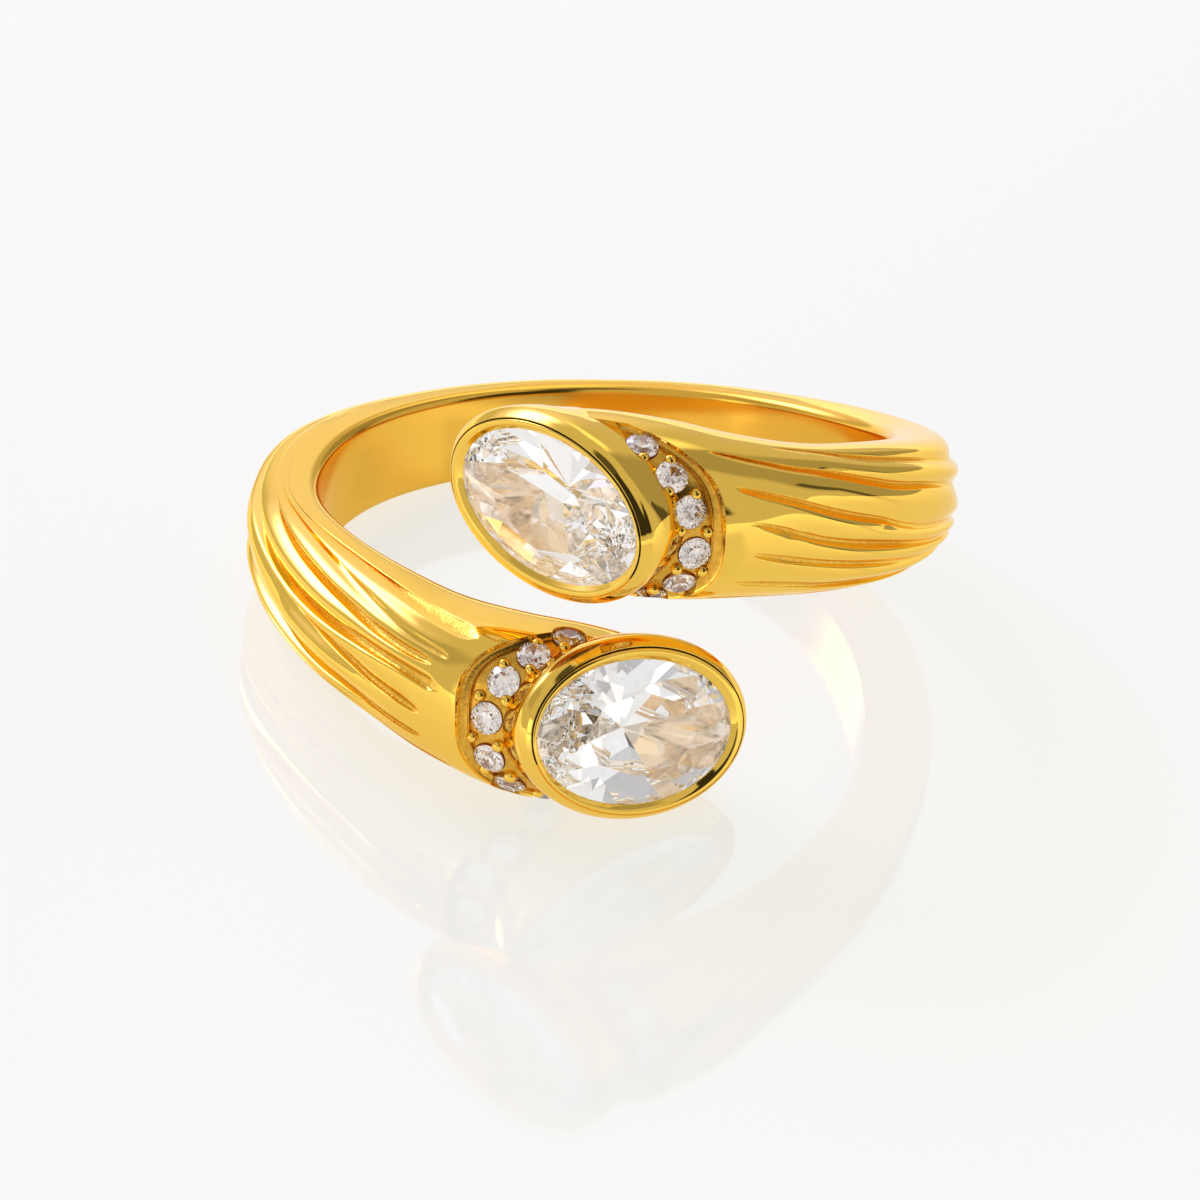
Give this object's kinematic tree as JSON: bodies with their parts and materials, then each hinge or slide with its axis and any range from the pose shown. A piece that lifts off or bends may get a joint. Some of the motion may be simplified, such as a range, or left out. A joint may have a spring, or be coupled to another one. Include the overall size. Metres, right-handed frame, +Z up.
{
  "type": "bypass ring with oval stones",
  "caption": "Open bypass ring: two gold arms pass each other at the front, each ending in a bezel-set oval stone with a crescent of small round stones behind it.",
  "frame": {"origin": "on the surface that the ring lies on, under the middle of its box", "axes": "+Z up from the surface, +Y toward the back of the band, +X to the right with the stones toward the viewer"},
  "size_m": [0.0216, 0.024, 0.012],
  "materials": {
    "gold": "polished yellow gold, rougher in the grooves and channels",
    "crystal": "clear faceted stone"
  },
  "bodies": {
    "root": {"band": "gold", "upper_stone": "crystal", "lower_stone": "crystal", "upper_accent_1": "crystal", "upper_accent_2": "crystal", "upper_accent_3": "crystal", "upper_accent_4": "crystal", "upper_accent_5": "crystal", "upper_accent_6": "crystal", "lower_accent_1": "crystal", "lower_accent_2": "crystal", "lower_accent_3": "crystal", "lower_accent_4": "crystal", "lower_accent_5": "crystal", "lower_accent_6": "crystal", "lower_accent_7": "crystal"}
  },
  "joints": []
}
